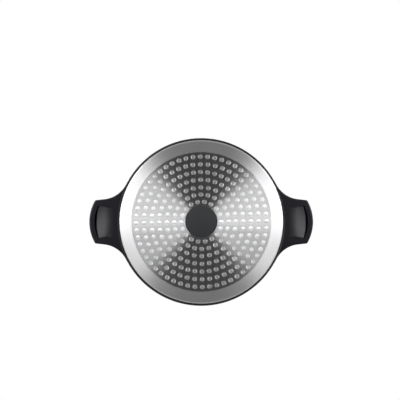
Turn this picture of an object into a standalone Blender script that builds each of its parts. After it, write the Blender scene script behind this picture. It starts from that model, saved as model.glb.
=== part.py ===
"""Cooking pot, upright, its base on z = 0 and its two side handles along X.

A coated aluminium vessel carries a perforated steel induction plate in its base. The metal of the vessel
fills the plate's holes as studs. Each moulded handle is held by a screw and a split washer, in a threaded
stud on the wall.
"""

import math

import bmesh
import bpy
from mathutils import Vector

# Vessel
MOUTH_RADIUS = 0.120
POT_HEIGHT = 0.115
WALL_THICKNESS = 0.003
WALL_DRAFT = math.radians(3.24)
LIP_OVERHANG = 0.002
LIP_THICKNESS = 0.003
LIP_EDGE_ROUND = 0.0009
OUTER_CORNER_RADIUS = 0.006
INNER_CORNER_RADIUS = 0.012
FLOOR_THICKNESS = 0.0054

# Induction plate, inside a bare turned band of the base
BASE_BAND_WIDTH = 0.0136
PLATE_THICKNESS = 0.0008
CENTRE_HOLE_RADIUS = 0.0227
CENTRE_PAD_DEPTH = 0.0006

# Studs of the vessel in the plate's holes: rings about a pitch apart, each with studs about a pitch apart
PLATE_HOLE_RADIUS = 0.0031
STUD_PITCH = 0.0102
FIRST_RING_FOLD = 2
RING_FOLD = 4
CLOSE_RINGS = 3
CLOSE_RING_STEP = 0.0100
WIDE_RING_STEP = 0.0107
FIRST_RING_MARGIN = 0.0052
LAST_RING_MARGIN = 0.0061
PATTERN_TURN = math.radians(-0.85)

# Handle in plan: an arc at the tip, straight flanks and a hollow flare into thin wings along the wall
HANDLE_REACH = 0.0424
HANDLE_TIP_WIDTH = 0.0616
TIP_ARC_RADIUS = 0.062
HANDLE_CORNER_RADIUS = 0.003
FLANK_ANGLE = math.radians(6.5)
FLARE_RADIUS = 0.040
WING_THICKNESS = 0.0012
WING_TAIL = math.radians(3.5)

# Handle in height: the tip is as high as its pocket and screw bore need, and the root is higher
RIM_TO_HANDLE = 0.003
BORE_COVER = 0.0036
ROOT_EXTRA_HEIGHT = 0.004
HANDLE_EDGE_ROUND = 0.0027
WING_END_HEIGHT = 0.010
WING_SHOULDER = math.radians(14)

# Finger pocket under the handle. Its roof falls straight at first, then eases to level at the root
POCKET_LIP = 0.0037
POCKET_WALL_RUN = 0.0053
POCKET_DEPTH = 0.0048
POCKET_HALF_ANGLE = math.radians(8.9)
POCKET_ROOT_MARGIN = 0.005
POCKET_STRAIGHT = 0.45
POCKET_ARCH = 0.0014

# Handle fixing, on a level axis that points out from the wall
STUD_RADIUS = 0.005
STUD_LENGTH = 0.009
STUD_CHAMFER = 0.0003
SCREW_RADIUS = 0.0025
SCREW_END_GAP = 0.0015
SCREW_CHAMFER = 0.0006
SCREW_HEAD_RADIUS = 0.004
SCREW_HEAD_HEIGHT = 0.003
DRIVE_WIDTH = 0.0011
DRIVE_LENGTH = 0.0046
DRIVE_DEPTH = 0.0016
DRIVE_TAPER = 0.6
WASHER_RADIUS = 0.0041
WASHER_THICKNESS = 0.0012
WASHER_SLIT = math.radians(22)
HANDLE_SEAT_THICKNESS = 0.006
HOLE_CLEARANCE = 0.0005

# Fits: neighbours keep the gap, a cutter runs on past what it cuts, a rounding takes at most its share
SEAT_GAP = 0.0003
CUT_OVERRUN = 0.002
ROUND_SHARE = 0.45
SAME_PLACE = 0.0001

# Facets
POT_SEGMENTS = 64
PLATE_SEGMENTS = 64
CENTRE_SEGMENTS = 32
STUD_FACETS = 6
CORNER_STEPS = 4
ROUND_STEPS = 2
TIP_STEPS = 5
HANDLE_CORNER_STEPS = 3
FLARE_STEPS = 6
WING_STEPS = 2
POCKET_RAYS = 3
ROOF_STEPS = 6
SCREW_SEGMENTS = 16
SMOOTH_ANGLE = math.radians(32)


def recess_depth():
    """Depth of the seat that the induction plate lies in."""
    return PLATE_THICKNESS + SEAT_GAP


def floor_height():
    return recess_depth() + FLOOR_THICKNESS


def wall_radius(height):
    """Outside radius of the leaning wall at a height."""
    return MOUTH_RADIUS + WALL_THICKNESS - (POT_HEIGHT - height) * math.tan(WALL_DRAFT)


def inner_wall_radius(height):
    return wall_radius(height) - WALL_THICKNESS


def corner_centre(radius_at, corner_radius, bottom):
    """Centre of the arc that joins a level floor to a leaning wall."""
    height = bottom + corner_radius
    return (radius_at(height) - corner_radius / math.cos(WALL_DRAFT), height)


def plate_radius():
    """The plate ends one band inside the edge of the flat base."""
    flat_edge = corner_centre(wall_radius, OUTER_CORNER_RADIUS, 0.0)[0]
    return flat_edge - BASE_BAND_WIDTH - SEAT_GAP


def head_bore_radius():
    return max(WASHER_RADIUS, SCREW_HEAD_RADIUS) + HOLE_CLEARANCE


def tip_height():
    """Height of the handle at its tip: the pocket below the screw's bore, with a wall on both its sides."""
    return POCKET_DEPTH + 2 * BORE_COVER + 2 * head_bore_radius()


def root_height():
    return tip_height() + ROOT_EXTRA_HEIGHT


def handle_height():
    """Height of the handle's middle, with its root just below the lip."""
    return POT_HEIGHT - LIP_THICKNESS - RIM_TO_HANDLE - root_height() / 2


def screw_height():
    return handle_height() + tip_height() / 2 - BORE_COVER - head_bore_radius()


def handle_seat_radius(height):
    """Radius that the back of a handle follows, just off the wall."""
    return wall_radius(height) + SEAT_GAP


def clear_scene():
    for thing in list(bpy.data.objects):
        bpy.data.objects.remove(thing, do_unlink=True)


def principled(name, colour, roughness, metallic):
    """A plain finish: base colour, roughness and how metallic it is."""
    material = bpy.data.materials.new(name)
    material.use_nodes = True
    shader = material.node_tree.nodes["Principled BSDF"]
    shader.inputs["Base Color"].default_value = (*colour, 1.0)
    shader.inputs["Roughness"].default_value = roughness
    shader.inputs["Metallic"].default_value = metallic
    material.diffuse_color = (*colour, 1.0)
    return material


def coated_aluminium():
    return principled("coated_aluminium", (0.021, 0.021, 0.023), 0.42, 0.0)


def turned_steel():
    return principled("turned_steel", (0.46, 0.46, 0.47), 0.34, 1.0)


def bare_aluminium():
    return principled("bare_aluminium", (0.72, 0.72, 0.73), 0.32, 1.0)


def black_phenolic():
    return principled("black_phenolic", (0.022, 0.022, 0.024), 0.48, 0.0)


def zinc_plated_steel():
    return principled("zinc_plated_steel", (0.58, 0.58, 0.60), 0.30, 1.0)


def spring_steel():
    return principled("spring_steel", (0.22, 0.22, 0.23), 0.36, 1.0)


def add_object(name, bm, material=None, parent=None, location=(0.0, 0.0, 0.0)):
    """Turn a bmesh into a named object, with its faces pointing out and its round sides smooth."""
    bmesh.ops.recalc_face_normals(bm, faces=bm.faces)
    mesh = bpy.data.meshes.new(name)
    bm.to_mesh(mesh)
    bm.free()
    mesh.shade_smooth()
    mesh.set_sharp_from_angle(angle=SMOOTH_ANGLE)
    if material is not None:
        mesh.materials.append(material)
    thing = bpy.data.objects.new(name, mesh)
    bpy.context.scene.collection.objects.link(thing)
    thing.parent = parent
    thing.location = location
    return thing


def add_tool(name, bm, parent=None, location=(0.0, 0.0, 0.0)):
    """An object that only shapes another one."""
    tool = add_object(name, bm, None, parent, location)
    tool.hide_render = True
    tool.display_type = "WIRE"
    return tool


def combine(target, tool, operation):
    modifier = target.modifiers.new(tool.name, "BOOLEAN")
    modifier.operation = operation
    modifier.solver = "EXACT"
    modifier.object = tool


def arc_points(centre, radius, start, end, steps):
    """Points along an arc, ends included, in the plane of the two coordinates given."""
    points = []
    for step in range(steps + 1):
        angle = start + (end - start) * step / steps
        points.append((centre[0] + radius * math.cos(angle), centre[1] + radius * math.sin(angle)))
    return points


def join_rings(bm, rings, closed_way):
    """Faces between neighbouring rings of vertices. closed_way joins the last ring to the first."""
    pairs = list(zip(rings, rings[1:]))
    if closed_way:
        pairs.append((rings[-1], rings[0]))
    for ring, following in pairs:
        count = len(ring)
        for index in range(count):
            after = (index + 1) % count
            bm.faces.new((ring[index], ring[after], following[after], following[index]))


def turned_about_z(profile, segments):
    """A solid turned about Z from a profile of (radius, height) points, with a flat face at each end."""
    bm = bmesh.new()
    rings = []
    for radius, height in profile:
        ring = []
        for segment in range(segments):
            angle = 2 * math.pi * segment / segments
            ring.append(bm.verts.new((radius * math.cos(angle), radius * math.sin(angle), height)))
        rings.append(ring)
    join_rings(bm, rings, False)
    bm.faces.new(rings[0])
    bm.faces.new(rings[-1])
    return bm


def turned_about_x(profile, segments, end_faces=True):
    """A solid turned about X from (distance, radius) points. Without end faces the profile is a loop."""
    bm = bmesh.new()
    rings = []
    for distance, radius in profile:
        ring = []
        for segment in range(segments):
            angle = 2 * math.pi * (segment + 0.5) / segments
            ring.append(bm.verts.new((distance, radius * math.cos(angle), radius * math.sin(angle))))
        rings.append(ring)
    join_rings(bm, rings, not end_faces)
    if end_faces:
        bm.faces.new(rings[0])
        bm.faces.new(rings[-1])
    return bm


def vessel_profile():
    """From the plate's seat out along the base, up the outside, over the lip and down the inside."""
    seat_radius = plate_radius() + SEAT_GAP
    lip_radius = wall_radius(POT_HEIGHT) + LIP_OVERHANG
    lip_bottom = POT_HEIGHT - LIP_THICKNESS
    mouth = inner_wall_radius(POT_HEIGHT)
    outer = corner_centre(wall_radius, OUTER_CORNER_RADIUS, 0.0)
    inner = corner_centre(inner_wall_radius, INNER_CORNER_RADIUS, floor_height())
    edge = min(LIP_EDGE_ROUND, ROUND_SHARE * LIP_THICKNESS, ROUND_SHARE * WALL_THICKNESS)
    round_out = lip_radius - edge
    top = POT_HEIGHT - edge
    profile = [(seat_radius, recess_depth()), (seat_radius, 0.0)]
    profile += arc_points(outer, OUTER_CORNER_RADIUS, -math.pi / 2, -WALL_DRAFT, CORNER_STEPS)
    profile.append((wall_radius(lip_bottom), lip_bottom))
    profile += arc_points((round_out, lip_bottom + edge), edge, -math.pi / 2, 0, ROUND_STEPS)
    profile += arc_points((round_out, top), edge, 0, math.pi / 2, ROUND_STEPS)
    profile += arc_points((mouth + edge, top), edge, math.pi / 2, math.pi, ROUND_STEPS)
    profile += arc_points(inner, INNER_CORNER_RADIUS, -WALL_DRAFT, -math.pi / 2, CORNER_STEPS)
    return profile


def ring_radii():
    """The close rings step out from the centre hole, and the rest share the way to the plate's edge."""
    radii = [CENTRE_HOLE_RADIUS + FIRST_RING_MARGIN + CLOSE_RING_STEP * ring for ring in range(CLOSE_RINGS)]
    last_close = radii[-1]
    way_left = plate_radius() - LAST_RING_MARGIN - last_close
    wide_rings = max(1, round(way_left / WIDE_RING_STEP))
    radii += [last_close + way_left * (ring + 1) / wide_rings for ring in range(wide_rings)]
    return radii


def studs_in_ring(ring, radius):
    """As many studs as the pitch allows, in a multiple of the ring's fold."""
    fold = FIRST_RING_FOLD if ring == 0 else RING_FOLD
    return int(fold * round(2 * math.pi * radius / (fold * STUD_PITCH)))


def add_prism(bm, centre, radius, facets, turn, bottom, top):
    """An upright prism with a regular outline."""
    rings = []
    for height in (bottom, top):
        ring = []
        for facet in range(facets):
            angle = turn + 2 * math.pi * facet / facets
            place = (centre[0] + radius * math.cos(angle), centre[1] + radius * math.sin(angle), height)
            ring.append(bm.verts.new(place))
        rings.append(ring)
    join_rings(bm, rings, False)
    bm.faces.new(rings[0])
    bm.faces.new(rings[1])


def stud_pattern(bm, radius, bottom, top):
    """One prism at each place of the stud pattern."""
    for ring, ring_radius in enumerate(ring_radii()):
        count = studs_in_ring(ring, ring_radius)
        for index in range(count):
            angle = PATTERN_TURN + 2 * math.pi * index / count
            centre = (ring_radius * math.cos(angle), ring_radius * math.sin(angle))
            add_prism(bm, centre, radius, STUD_FACETS, angle, bottom, top)


def make_pot_body():
    body = add_object("pot_body", turned_about_z(vessel_profile(), POT_SEGMENTS), coated_aluminium())
    inside_floor = recess_depth() + FLOOR_THICKNESS / 2
    bm = bmesh.new()
    stud_pattern(bm, PLATE_HOLE_RADIUS - SEAT_GAP, 0.0, inside_floor)
    pad_radius = CENTRE_HOLE_RADIUS - SEAT_GAP
    add_prism(bm, (0.0, 0.0), pad_radius, CENTRE_SEGMENTS, 0.0, CENTRE_PAD_DEPTH, inside_floor)
    combine(body, add_tool("base_studs", bm), "UNION")


def make_induction_plate():
    bm = bmesh.new()
    add_prism(bm, (0.0, 0.0), plate_radius(), PLATE_SEGMENTS, 0.0, 0.0, PLATE_THICKNESS)
    plate = add_object("induction_plate", bm, turned_steel())
    below = -CUT_OVERRUN
    above = PLATE_THICKNESS + CUT_OVERRUN
    cutter = bmesh.new()
    stud_pattern(cutter, PLATE_HOLE_RADIUS, below, above)
    add_prism(cutter, (0.0, 0.0), CENTRE_HOLE_RADIUS, CENTRE_SEGMENTS, 0.0, below, above)
    combine(plate, add_tool("plate_hole_cutter", cutter), "DIFFERENCE")


def handle_tip_x():
    return wall_radius(handle_height()) + HANDLE_REACH


def first_at_distance(start, direction, distance, centre):
    """The first point of a line, the line's direction taken, that lies at a distance from a centre."""
    offset = start - centre
    along = offset.dot(direction)
    return start + direction * (-along - math.sqrt(along**2 - offset.length_squared + distance**2))


def handle_stations():
    """Points round half the handle's plan outline, from the tip to a wing's end, each with its way in."""
    tip_x = handle_tip_x()
    axis = Vector((0.0, 0.0))
    wing_radius = handle_seat_radius(handle_height()) + WING_THICKNESS
    inward_of_flank = Vector((-math.sin(FLANK_ANGLE), -math.cos(FLANK_ANGLE)))
    along_flank = Vector((-math.cos(FLANK_ANGLE), math.sin(FLANK_ANGLE)))
    flank_start = Vector((tip_x, HANDLE_TIP_WIDTH / 2))

    tip_centre = Vector((tip_x - TIP_ARC_RADIUS, 0.0))
    corner_line = flank_start + inward_of_flank * HANDLE_CORNER_RADIUS
    corner_reach = TIP_ARC_RADIUS - HANDLE_CORNER_RADIUS
    corner = first_at_distance(corner_line, along_flank, corner_reach, tip_centre)
    corner_start = math.atan2(corner.y - tip_centre.y, corner.x - tip_centre.x)
    corner_end = math.pi / 2 - FLANK_ANGLE

    flare_line = flank_start - inward_of_flank * FLARE_RADIUS
    flare = first_at_distance(flare_line, along_flank, wing_radius + FLARE_RADIUS, axis)
    flare_start = -math.pi / 2 - FLANK_ANGLE
    blend_angle = math.atan2(flare.y, flare.x)
    flare_end = blend_angle - math.pi

    stations = []
    for centre, radius, start, end, steps, hollow in (
        (tip_centre, TIP_ARC_RADIUS, 0.0, corner_start, TIP_STEPS, False),
        (corner, HANDLE_CORNER_RADIUS, corner_start, corner_end, HANDLE_CORNER_STEPS, False),
        (flare, FLARE_RADIUS, flare_start, flare_end, FLARE_STEPS, True),
        (axis, wing_radius, blend_angle, blend_angle + WING_TAIL, WING_STEPS, False),
    ):
        for place in arc_points(centre, radius, start, end, steps):
            point = Vector(place)
            inward = (point - centre if hollow else centre - point).normalized()
            if not stations or (point - stations[-1][0]).length > SAME_PLACE:
                stations.append((point, inward))
    return stations


def wing_fraction(angle, end_angle):
    """Share of its height that a handle keeps at an angle round the pot, rounding off to the wing's end."""
    if abs(angle) <= WING_SHOULDER:
        return 1.0
    end_share = WING_END_HEIGHT / root_height()
    way = min(1.0, (abs(angle) - WING_SHOULDER) / (end_angle - WING_SHOULDER))
    return end_share + (1 - end_share) * math.sqrt(1 - way**2)


def half_height(radius):
    """Half the handle's height at a distance from the pot's axis, before the wings taper."""
    root_radius = handle_seat_radius(handle_height())
    way = max(0.0, (radius - root_radius) / (handle_tip_x() - root_radius))
    return (root_height() - ROOT_EXTRA_HEIGHT * way) / 2


def saddle_point(angle, height):
    """A point on the handle's back, heights counted from the handle's middle."""
    radius = handle_seat_radius(handle_height() + height)
    return (radius * math.cos(angle), radius * math.sin(angle), height)


def handle_section(point, inward, end_angle):
    """One closed loop through the handle: back, top, rounded rim and underside."""
    share = wing_fraction(math.atan2(point.y, point.x), end_angle)
    width = point.length - handle_seat_radius(handle_height())
    rim_half = half_height(point.length) * share
    inset = min(HANDLE_EDGE_ROUND, 2 * ROUND_SHARE * HANDLE_CORNER_RADIUS, ROUND_SHARE * width)
    drop = min(HANDLE_EDGE_ROUND, ROUND_SHARE * rim_half)
    edge = point + inward * inset
    angle = math.atan2(edge.y, edge.x)
    root_half = root_height() / 2 * share
    upper = []
    for step in range(ROUND_STEPS + 1):
        turn = math.pi / 2 * step / ROUND_STEPS
        place = point + inward * inset * (1 - math.sin(turn))
        upper.append((place.x, place.y, rim_half - drop * (1 - math.cos(turn))))
    lower = [(x, y, -height) for x, y, height in reversed(upper)]
    return [saddle_point(angle, root_half)] + upper + lower + [saddle_point(angle, -root_half)]


def handle_solid():
    """The moulding before its pocket and holes are cut."""
    half = handle_stations()
    end_angle = math.atan2(half[-1][0].y, half[-1][0].x)
    stations = [(Vector((p.x, -p.y)), Vector((n.x, -n.y))) for p, n in reversed(half[1:])] + half
    bm = bmesh.new()
    rings = []
    for point, inward in stations:
        rings.append([bm.verts.new(place) for place in handle_section(point, inward, end_angle)])
    join_rings(bm, rings, False)
    bm.faces.new(rings[0])
    bm.faces.new(rings[-1])
    return bm


def pocket_root():
    return handle_seat_radius(handle_height()) + POCKET_ROOT_MARGIN


def pocket_rise(x, share):
    """Height of the pocket's roof over the underside, at a share of the way from its middle to an end."""
    start = handle_tip_x() - POCKET_LIP - POCKET_WALL_RUN
    way = min(1.0, (start - x) / (start - pocket_root()))
    if way < POCKET_STRAIGHT:
        fall = 1 - 2 * way / (1 + POCKET_STRAIGHT)
    else:
        fall = (1 - way) ** 2 / (1 - POCKET_STRAIGHT**2)
    return POCKET_DEPTH * fall - POCKET_ARCH * share**2


def pocket_tool():
    """Finger hollow: a sloped wall behind the lip, upright ends, and a roof that runs down to the underside."""
    centre_x = handle_tip_x() - TIP_ARC_RADIUS
    wall_arc = TIP_ARC_RADIUS - POCKET_LIP
    root_radius = pocket_root()
    bm = bmesh.new()
    rings = []
    for ray in range(-POCKET_RAYS, POCKET_RAYS + 1):
        share = ray / POCKET_RAYS
        angle = POCKET_HALF_ANGLE * share
        across = centre_x * math.sin(angle)
        lip_radius = centre_x * math.cos(angle) + math.sqrt(wall_arc**2 - across**2)
        roof_start = lip_radius - POCKET_WALL_RUN
        underside = -half_height(lip_radius)
        ring = [(lip_radius, underside - CUT_OVERRUN), (lip_radius, underside)]
        for step in range(ROOF_STEPS + 1):
            radius = roof_start + (root_radius - roof_start) * step / ROOF_STEPS
            rise = pocket_rise(radius * math.cos(angle), share)
            ring.append((radius, -half_height(radius) + rise))
        ring.append((root_radius, -half_height(root_radius) - CUT_OVERRUN))
        rings.append(
            [bm.verts.new((radius * math.cos(angle), radius * math.sin(angle), z)) for radius, z in ring]
        )
    join_rings(bm, rings, False)
    bm.faces.new(rings[0])
    bm.faces.new(rings[-1])
    return bm


def stud_foot_x():
    """Where the stud's axis leaves its foot on the wall."""
    return handle_seat_radius(screw_height())


def head_seat_x():
    """The face inside the handle that the washer presses on."""
    return stud_foot_x() + STUD_LENGTH + SEAT_GAP + HANDLE_SEAT_THICKNESS


def fixing_bore_tool():
    """Socket for the stud, hole for the screw's shank and a wider bore for its head, from root to tip."""
    seat = head_seat_x()
    socket_radius = STUD_RADIUS + SEAT_GAP
    shank_hole = SCREW_RADIUS + HOLE_CLEARANCE
    socket_end = seat - HANDLE_SEAT_THICKNESS
    profile = [
        (stud_foot_x() - STUD_RADIUS, socket_radius),
        (socket_end, socket_radius),
        (socket_end, shank_hole),
        (seat, shank_hole),
        (seat, head_bore_radius()),
        (handle_tip_x() + CUT_OVERRUN, head_bore_radius()),
    ]
    return turned_about_x(profile, SCREW_SEGMENTS)


def stud_solid():
    """A threaded boss, its bore open at the outer end and its foot shaped to the wall."""
    foot_x = stud_foot_x()
    bore = SCREW_RADIUS + SEAT_GAP
    profile = [
        (0.0, bore),
        (0.0, STUD_RADIUS),
        (STUD_LENGTH - STUD_CHAMFER, STUD_RADIUS),
        (STUD_LENGTH, STUD_RADIUS - STUD_CHAMFER),
        (STUD_LENGTH, bore),
    ]
    bm = turned_about_x(profile, SCREW_SEGMENTS, end_faces=False)
    for vertex in bm.verts:
        if vertex.co.x == 0.0:
            radius = handle_seat_radius(screw_height() + vertex.co.z)
            vertex.co.x = math.sqrt(radius**2 - vertex.co.y**2) - foot_x
    return bm


def washer_x():
    return head_seat_x() + SEAT_GAP


def screw_head_x():
    return washer_x() + WASHER_THICKNESS + SEAT_GAP


def screw_solid():
    """Shank and cheese head, the head's underside at x = 0. The shank ends just short of the wall."""
    length = screw_head_x() - stud_foot_x() - SCREW_END_GAP
    profile = [
        (-length, SCREW_RADIUS - SCREW_CHAMFER),
        (-length + SCREW_CHAMFER, SCREW_RADIUS),
        (0.0, SCREW_RADIUS),
        (0.0, SCREW_HEAD_RADIUS),
        (SCREW_HEAD_HEIGHT - SCREW_CHAMFER, SCREW_HEAD_RADIUS),
        (SCREW_HEAD_HEIGHT, SCREW_HEAD_RADIUS - SCREW_CHAMFER),
    ]
    return turned_about_x(profile, SCREW_SEGMENTS)


def drive_tool():
    """Cross recess of the screw: a plus-shaped prism that narrows inwards."""
    arm = DRIVE_LENGTH / 2
    half = DRIVE_WIDTH / 2
    quarter = [(arm, -half), (arm, half), (half, half)]
    bm = bmesh.new()
    rings = []
    depths = ((SCREW_HEAD_HEIGHT - DRIVE_DEPTH, DRIVE_TAPER), (SCREW_HEAD_HEIGHT + CUT_OVERRUN, 1.0))
    for x, scale in depths:
        ring = []
        for turn in range(4):
            angle = turn * math.pi / 2
            for out, side in quarter:
                y = out * scale * math.cos(angle) - side * math.sin(angle)
                z = out * scale * math.sin(angle) + side * math.cos(angle)
                ring.append(bm.verts.new((x, y, z)))
        rings.append(ring)
    join_rings(bm, rings, False)
    bm.faces.new(rings[0])
    bm.faces.new(rings[1])
    return bm


def washer_solid():
    """A split spring washer, pressed flat, its back at x = 0."""
    inner = SCREW_RADIUS + SEAT_GAP
    bm = bmesh.new()
    outer = WASHER_RADIUS
    section = ((0.0, inner), (0.0, outer), (WASHER_THICKNESS, outer), (WASHER_THICKNESS, inner))
    steps = SCREW_SEGMENTS - 1
    rings = []
    for step in range(steps + 1):
        angle = WASHER_SLIT / 2 + (2 * math.pi - WASHER_SLIT) * step / steps
        rings.append([bm.verts.new((x, r * math.cos(angle), r * math.sin(angle))) for x, r in section])
    join_rings(bm, rings, False)
    bm.faces.new(rings[0])
    bm.faces.new(rings[-1])
    return bm


def make_handle(side, turn):
    """A handle with its stud, screw and washer, on an empty at the pot's axis that turns to face its side."""
    mount = bpy.data.objects.new(f"{side}_handle_mount", None)
    mount.rotation_euler = (0.0, 0.0, turn)
    bpy.context.scene.collection.objects.link(mount)
    middle = (0.0, 0.0, handle_height())
    on_axis = (0.0, 0.0, screw_height())
    at_stud = (stud_foot_x(), 0.0, screw_height())
    at_washer = (washer_x(), 0.0, screw_height())
    at_head = (screw_head_x(), 0.0, screw_height())

    handle = add_object(f"{side}_handle", handle_solid(), black_phenolic(), mount, middle)
    pocket = add_tool(f"{side}_pocket_cutter", pocket_tool(), mount, middle)
    bore = add_tool(f"{side}_bore_cutter", fixing_bore_tool(), mount, on_axis)
    combine(handle, pocket, "DIFFERENCE")
    combine(handle, bore, "DIFFERENCE")

    add_object(f"{side}_handle_stud", stud_solid(), bare_aluminium(), mount, at_stud)
    add_object(f"{side}_handle_washer", washer_solid(), spring_steel(), mount, at_washer)
    screw = add_object(f"{side}_handle_screw", screw_solid(), zinc_plated_steel(), mount, at_head)
    drive = add_tool(f"{side}_drive_cutter", drive_tool(), mount, at_head)
    combine(screw, drive, "DIFFERENCE")


def main():
    clear_scene()
    make_pot_body()
    make_induction_plate()
    make_handle("right", 0.0)
    make_handle("left", math.pi)
    bpy.context.view_layer.update()


main()
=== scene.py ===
"""The looks of the cooking pot, in metres, with Z up, the pot's axis on Z and its foot at Z = 0.

A turned base with its studs, a perforated plate, a coated vessel, and two moulded handles with their
screws and washers. The camera looks at the pot from straight below.
"""

import math

import bmesh
import bpy
from mathutils import Matrix, Vector
from mathutils.geometry import delaunay_2d_cdt


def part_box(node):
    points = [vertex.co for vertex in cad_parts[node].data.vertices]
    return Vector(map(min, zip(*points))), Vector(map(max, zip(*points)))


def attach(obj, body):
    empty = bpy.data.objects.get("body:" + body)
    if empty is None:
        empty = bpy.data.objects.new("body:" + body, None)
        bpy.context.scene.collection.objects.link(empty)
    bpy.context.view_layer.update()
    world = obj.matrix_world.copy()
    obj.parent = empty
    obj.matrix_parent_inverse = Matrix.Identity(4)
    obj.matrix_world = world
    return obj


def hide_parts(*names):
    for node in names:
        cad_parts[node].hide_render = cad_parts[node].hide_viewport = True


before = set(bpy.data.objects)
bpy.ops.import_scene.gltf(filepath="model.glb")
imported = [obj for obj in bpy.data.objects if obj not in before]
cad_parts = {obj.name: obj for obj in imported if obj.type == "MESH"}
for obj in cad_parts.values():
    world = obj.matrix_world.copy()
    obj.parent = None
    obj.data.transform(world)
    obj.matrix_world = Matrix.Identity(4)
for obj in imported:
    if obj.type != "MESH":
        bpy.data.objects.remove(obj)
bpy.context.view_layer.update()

# Sizes taken from the frame
RIM_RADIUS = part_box("pot_body")[1].y
POT_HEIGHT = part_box("pot_body")[1].z
PLATE_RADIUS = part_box("induction_plate")[1].y
PLATE_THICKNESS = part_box("induction_plate")[1].z
HANDLE_TIP_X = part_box("right_handle")[1].x
HANDLE_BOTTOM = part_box("right_handle")[0].z
HANDLE_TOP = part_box("right_handle")[1].z
HANDLE_MIDDLE = (HANDLE_BOTTOM + HANDLE_TOP) / 2
ROOT_HALF = (HANDLE_TOP - HANDLE_BOTTOM) / 2
SCREW_HEIGHT = (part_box("right_handle_screw")[0].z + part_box("right_handle_screw")[1].z) / 2
SCREW_END_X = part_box("right_handle_screw")[0].x
SCREW_HEAD_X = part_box("right_handle_screw")[1].x
WASHER_BACK_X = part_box("right_handle_washer")[0].x
WASHER_FRONT_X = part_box("right_handle_washer")[1].x

# Vessel
WALL = 0.003
WALL_DRAFT = math.radians(3.24)
WALL_HEIGHTS = (0.03, 0.06, 0.09)
LIP_OVERHANG = 0.002
LIP_THICKNESS = 0.003
LIP_EDGE_ROUND = 0.0009
LIP_FILLET = 0.001
LIP_FILLET_FOOT = 0.0012
OUTER_CORNER = 0.0045
INNER_CORNER = 0.012
FLOOR_TOP = 0.0065
FLOOR_RADII = (0.08, 0.055, 0.03, 0.012)
TURNED_RADIUS = 0.1137
BASE_SKIN = 0.0022
JOINT_GAP = 0.0001
JOINT_LAND = 0.001

# Base, plate and centre disc. A flat ring beside an edge keeps the shading of the flat face even
SEAT_GAP = 0.0003
FINE_EDGE = 0.0002
FLAT_RING = 0.00008
BAND_LAND = 0.0003
STUD_ZONE_MARGIN = 0.0005
CENTRE_HOLE = 0.0227
CENTRE_DEPTH = 0.0006
PAD_RECESS = 0.0003
DISC_SKIN = 0.00025
DISC_EDGE = 0.0006
DISC_EDGE_RISE = 0.0001

# Holes of the plate
HOLE_RADIUS = 0.0031
HOLE_ENTRY = 0.0003
DISH_WIDTH = 0.0005
DISH_SLOPE = math.radians(10)
DISH_EASE = 0.0001

# Studs and their pattern
STUD_PITCH = 0.0102
RING_FOLD = 4
CLOSE_RING_RADII = (0.0279, 0.0379, 0.0479)
LAST_RING_MARGIN = 0.0061
WIDE_RINGS = 4
PATTERN_TURN = math.radians(-0.85)
STUD_SLACK = 0.00005
STUD_TOP = 0.00005
STUD_DOME = math.radians(4)
STUD_DOME_SHARES = (0.67, 0.33)
STUD_EDGE = 0.0004

# Handles
SADDLE_GAP = 0.0003
TIP_WIDTH = 0.0616
TIP_ARC = 0.062
HANDLE_CORNER = 0.003
FLANK_ANGLE = math.radians(6.5)
FLARE = 0.040
WING_THICKNESS = 0.0012
WING_TAIL = math.radians(3.5)
WING_END_HEIGHT = 0.010
WING_SHOULDER = math.radians(14)
ROOT_EXTRA = 0.004
EDGE_ROUND = 0.0019
MOST_EDGE_SHARE = 0.45

# Finger pocket
POCKET_LIP = 0.0077
POCKET_WALL_RUN = 0.0013
POCKET_DEPTH = 0.0048
POCKET_HALF_ANGLE = math.radians(8.9)
POCKET_END_TURN = math.radians(0.08)
POCKET_ROOT_MARGIN = 0.005
POCKET_STRAIGHT = 0.45
POCKET_ARCH = 0.0018

# Points along the underside: beyond the lip's angle, or where it is short, its lip and wall are plain shares
LIP_LINE_ANGLE = 0.19
PLAIN_LIP_SHARE = 0.03
MOST_LIP_SHARE = 0.9
SHORT_UNDERSIDE = 0.004
PLAIN_WALL_SHARE = 0.05

# Fixings
BORE_RADIUS = 0.0046
BORE_CHAMFER = 0.0003
BORE_OVERSHOOT = 0.001
SHANK_HOLE = 0.003
SOCKET_RADIUS = 0.0053
SEAT_THICKNESS = 0.006
SCREW_RADIUS = 0.0025
SCREW_CHAMFER = 0.0006
HEAD_RADIUS = 0.004
HEAD_HEIGHT = 0.003
HEAD_ROUND = 0.0005
DRIVE_WIDTH = 0.0011
DRIVE_LENGTH = 0.0046
DRIVE_DEPTH = 0.0016
DRIVE_OVERSHOOT = 0.0005
DRIVE_TAPER = 0.6
WASHER_BORE = 0.0028
WASHER_RADIUS = 0.0041
WASHER_EDGE = 0.00015
WASHER_SLIT = math.radians(22)

# Fineness of round shapes
SEGMENTS = 256
CENTRE_SEGMENTS = 128
FIXING_SEGMENTS = 48
STUD_SIDES = 20
STUD_EDGE_STEPS = 3
BASE_CORNER_STEPS = 8
OUTER_CORNER_STEPS = 14
INNER_CORNER_STEPS = 16
LIP_FILLET_STEPS = 4
ROUND_STEPS = 5

# Fineness of the handles
TIP_STEPS = 44
HANDLE_CORNER_STEPS = 10
FLARE_STEPS = 30
WING_STEPS = 12
FLANK_PARTS = 10
LONGEST_STEP = 0.004
POCKET_END_CLEARANCE = 0.6
HANDLE_EDGE_STEPS = 7
TOP_STEPS = 10
BACK_STEPS = 6
ROOF_STEPS = 36
POCKET_WALL_STEPS = 8
LIP_STEPS = 4

# Distances that count as none, and the share of a hole's radius that surely lies in it
SAME_PLACE = 1e-6
SAME_VERTEX = 1e-7
SAME_CORNER = 1e-9
HOLE_TEST_SHARE = 0.97

# Turned metal: the marks' turn as a share of a whole one, and how far wear moves the roughness
QUARTER_TURN = 0.25
WEAR = 0.04

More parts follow.
